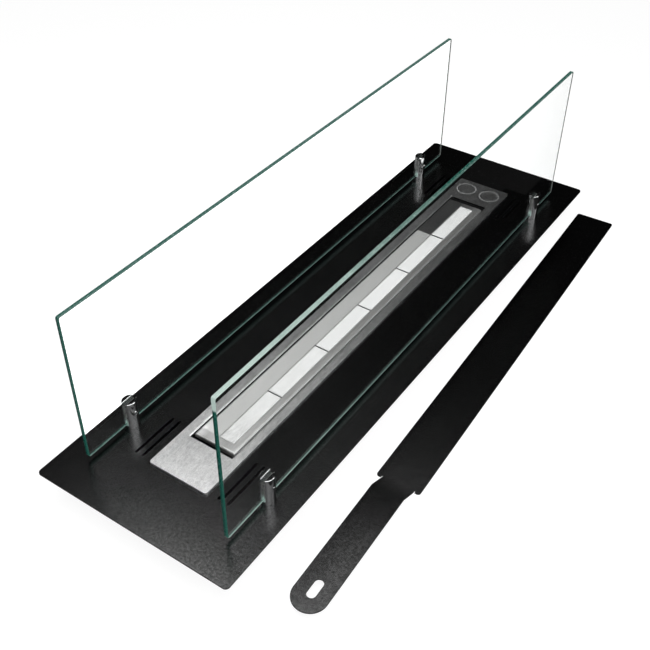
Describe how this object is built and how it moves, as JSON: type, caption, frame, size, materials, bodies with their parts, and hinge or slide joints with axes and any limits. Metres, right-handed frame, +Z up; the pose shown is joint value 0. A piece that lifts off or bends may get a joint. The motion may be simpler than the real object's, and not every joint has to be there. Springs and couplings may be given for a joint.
{
  "type": "bioethanol fireplace",
  "caption": "Long black drop-in plate with a brushed-steel bioethanol burner between two clear glass panes in chrome posts, with a folded snuffer lid beside it.",
  "frame": {"origin": "centre of the housing's bottom face, on the floor", "axes": "+Z up, +Y along the plate towards its far end, +X across the plate towards the side with the snuffer lid"},
  "size_m": [0.3908, 1.0026, 0.284],
  "materials": {
    "plate_black": "fine satin black powder coat",
    "housing_black": "matte black heat-resistant paint",
    "zinc": "bright zinc plating",
    "deck_steel": "fine brushed stainless steel",
    "tank_steel": "plain rolled stainless steel",
    "cover_steel": "fine brushed stainless steel",
    "ceramic_wool": "white ceramic fibre",
    "pane_glass": "clear toughened float glass",
    "clear_pad": "clear silicone",
    "post_chrome": "polished chrome",
    "lid_black": "fine satin black powder coat"
  },
  "bodies": {
    "base": {"top_plate": "plate_black", "housing": "housing_black", "housing_studs": "zinc", "housing_nuts": "zinc", "glass_left": "pane_glass", "glass_right": "pane_glass", "glass_pads": "clear_pad", "clamp_post_near_left": "post_chrome", "clamp_post_near_right": "post_chrome", "clamp_post_far_left": "post_chrome", "clamp_post_far_right": "post_chrome", "set_screws": "post_chrome", "post_screws": "zinc", "post_washers": "zinc"},
    "burner": {"burner_deck": "deck_steel", "overflow_tank": "tank_steel", "tank_rests": "tank_steel"},
    "tank_unit": {"fuel_tank": "tank_steel", "slot_cover": "cover_steel", "divider_1": "tank_steel", "divider_2": "tank_steel", "divider_3": "tank_steel", "divider_4": "tank_steel", "divider_5": "tank_steel", "wool_block_1": "ceramic_wool", "wool_block_2": "ceramic_wool", "wool_block_3": "ceramic_wool", "wool_block_4": "ceramic_wool", "wool_block_5": "ceramic_wool", "wool_block_6": "ceramic_wool"},
    "lid": {"snuffer_lid": "lid_black"}
  },
  "joints": [
    {"name": "burner_lift", "type": "slide", "parent": "base", "child": "burner", "axis": [0, 0, 1], "range_m": [0, 0.15]},
    {"name": "tank_lift", "type": "slide", "parent": "burner", "child": "tank_unit", "axis": [0, 0, 1], "range_m": [0, 0.12]},
    {"name": "lid_lift", "type": "slide", "parent": "base", "child": "lid", "axis": [0, 0, 1], "range_m": [0, 0.2]}
  ]
}
